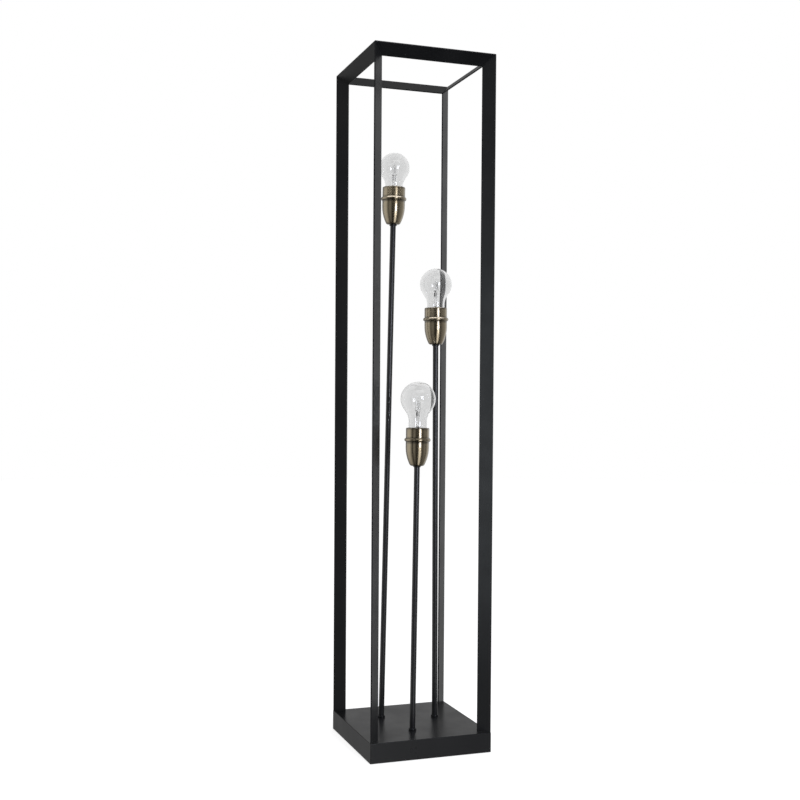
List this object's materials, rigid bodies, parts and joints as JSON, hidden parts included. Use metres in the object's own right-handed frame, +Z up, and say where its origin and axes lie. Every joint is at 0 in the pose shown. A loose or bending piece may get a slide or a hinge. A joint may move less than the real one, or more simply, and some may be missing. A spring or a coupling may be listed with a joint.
{
  "type": "column floor lamp",
  "caption": "Column floor lamp: tall open frame of mitred flat bar on a weighted square base, with slim stems of different heights that carry bronze lampholders and clear screw-in bulbs.",
  "frame": {"origin": "on the floor under the middle of the square base", "axes": "+Z up, -Y to the front, +X to the right as seen from the front; the cord bush is in the +Y wall"},
  "size_m": [0.22, 0.2225, 1.2],
  "materials": {
    "black_steel": "satin",
    "plated_steel": "satin",
    "ballast_iron": "matte",
    "pad_rubber": "matte",
    "bush_plastic": "satin",
    "block_plastic": "satin",
    "wire_sheath": "satin",
    "bronze": "satin",
    "porcelain": "gloss",
    "contact_brass": "satin",
    "bulb_glass": "gloss",
    "cap_metal": "satin",
    "black_glass": "gloss",
    "mount_glass": "gloss",
    "burner_glass": "gloss",
    "solder": "satin"
  },
  "bodies": {
    "lamp": {"base_tray": "black_steel", "base_cover": "black_steel", "foot_collars": "black_steel", "neck_nuts": "black_steel", "post_front_left": "black_steel", "post_front_right": "black_steel", "post_rear_left": "black_steel", "post_rear_right": "black_steel", "top_bar_front": "black_steel", "top_bar_right": "black_steel", "top_bar_rear": "black_steel", "top_bar_left": "black_steel", "cover_pillars": "plated_steel", "cover_screws": "plated_steel", "ballast_screws": "plated_steel", "block_screw": "plated_steel", "lock_nuts": "plated_steel", "inner_nuts": "plated_steel", "ballast": "ballast_iron", "foot_pads": "pad_rubber", "cord_bush": "bush_plastic", "cord_bush_nut": "bush_plastic", "junction_block": "block_plastic", "stem_wires": "wire_sheath", "stem_tall": "black_steel", "cup_tall": "bronze", "sleeve_tall": "bronze", "core_tall": "porcelain", "screw_shell_tall": "contact_brass", "holder_contact_tall": "contact_brass", "stem_middle": "black_steel", "cup_middle": "bronze", "sleeve_middle": "bronze", "core_middle": "porcelain", "screw_shell_middle": "contact_brass", "holder_contact_middle": "contact_brass", "stem_short": "black_steel", "cup_short": "bronze", "sleeve_short": "bronze", "core_short": "porcelain", "screw_shell_short": "contact_brass", "holder_contact_short": "contact_brass"},
    "bulb_tall": {"bulb_glass_tall": "bulb_glass", "bulb_cap_tall": "cap_metal", "bulb_insulator_tall": "black_glass", "bulb_mount_tall": "mount_glass", "bulb_burner_tall": "burner_glass"},
    "button_tall": {"bulb_button_tall": "solder"},
    "bulb_middle": {"bulb_glass_middle": "bulb_glass", "bulb_cap_middle": "cap_metal", "bulb_insulator_middle": "black_glass", "bulb_mount_middle": "mount_glass", "bulb_burner_middle": "burner_glass"},
    "button_middle": {"bulb_button_middle": "solder"},
    "bulb_short": {"bulb_glass_short": "bulb_glass", "bulb_cap_short": "cap_metal", "bulb_insulator_short": "black_glass", "bulb_mount_short": "mount_glass", "bulb_burner_short": "burner_glass"},
    "button_short": {"bulb_button_short": "solder"}
  },
  "joints": [
    {"name": "bulb_tall_lift", "type": "slide", "parent": "lamp", "child": "button_tall", "axis": [0.0139, -0.0139, 0.9998], "range_m": [0, 0.0164]},
    {"name": "bulb_tall_turn", "type": "hinge", "parent": "button_tall", "child": "bulb_tall", "pos_m": [-0.02723, 0.02723, 0.92183], "axis": [0.0139, -0.0139, 0.9998], "range_deg": [0, 1620]},
    {"name": "bulb_middle_lift", "type": "slide", "parent": "lamp", "child": "button_middle", "axis": [-0.0045, 0, 1], "range_m": [0, 0.0164]},
    {"name": "bulb_middle_turn", "type": "hinge", "parent": "button_middle", "child": "bulb_middle", "pos_m": [0.05103, 0.01449, 0.70899], "axis": [-0.0045, 0, 1], "range_deg": [0, 1620]},
    {"name": "bulb_short_lift", "type": "slide", "parent": "lamp", "child": "button_short", "axis": [0.0113, 0, 0.9999], "range_m": [0, 0.0164]},
    {"name": "bulb_short_turn", "type": "hinge", "parent": "button_short", "child": "bulb_short", "pos_m": [-0.00928, -0.05409, 0.49497], "axis": [0.0113, 0, 0.9999], "range_deg": [0, 1620]}
  ],
  "couplings": [
    {"joint": "bulb_tall_lift", "follows": "bulb_tall_turn", "m_per_rad": 0.00057757},
    {"joint": "bulb_middle_lift", "follows": "bulb_middle_turn", "m_per_rad": 0.00057757},
    {"joint": "bulb_short_lift", "follows": "bulb_short_turn", "m_per_rad": 0.00057757}
  ]
}
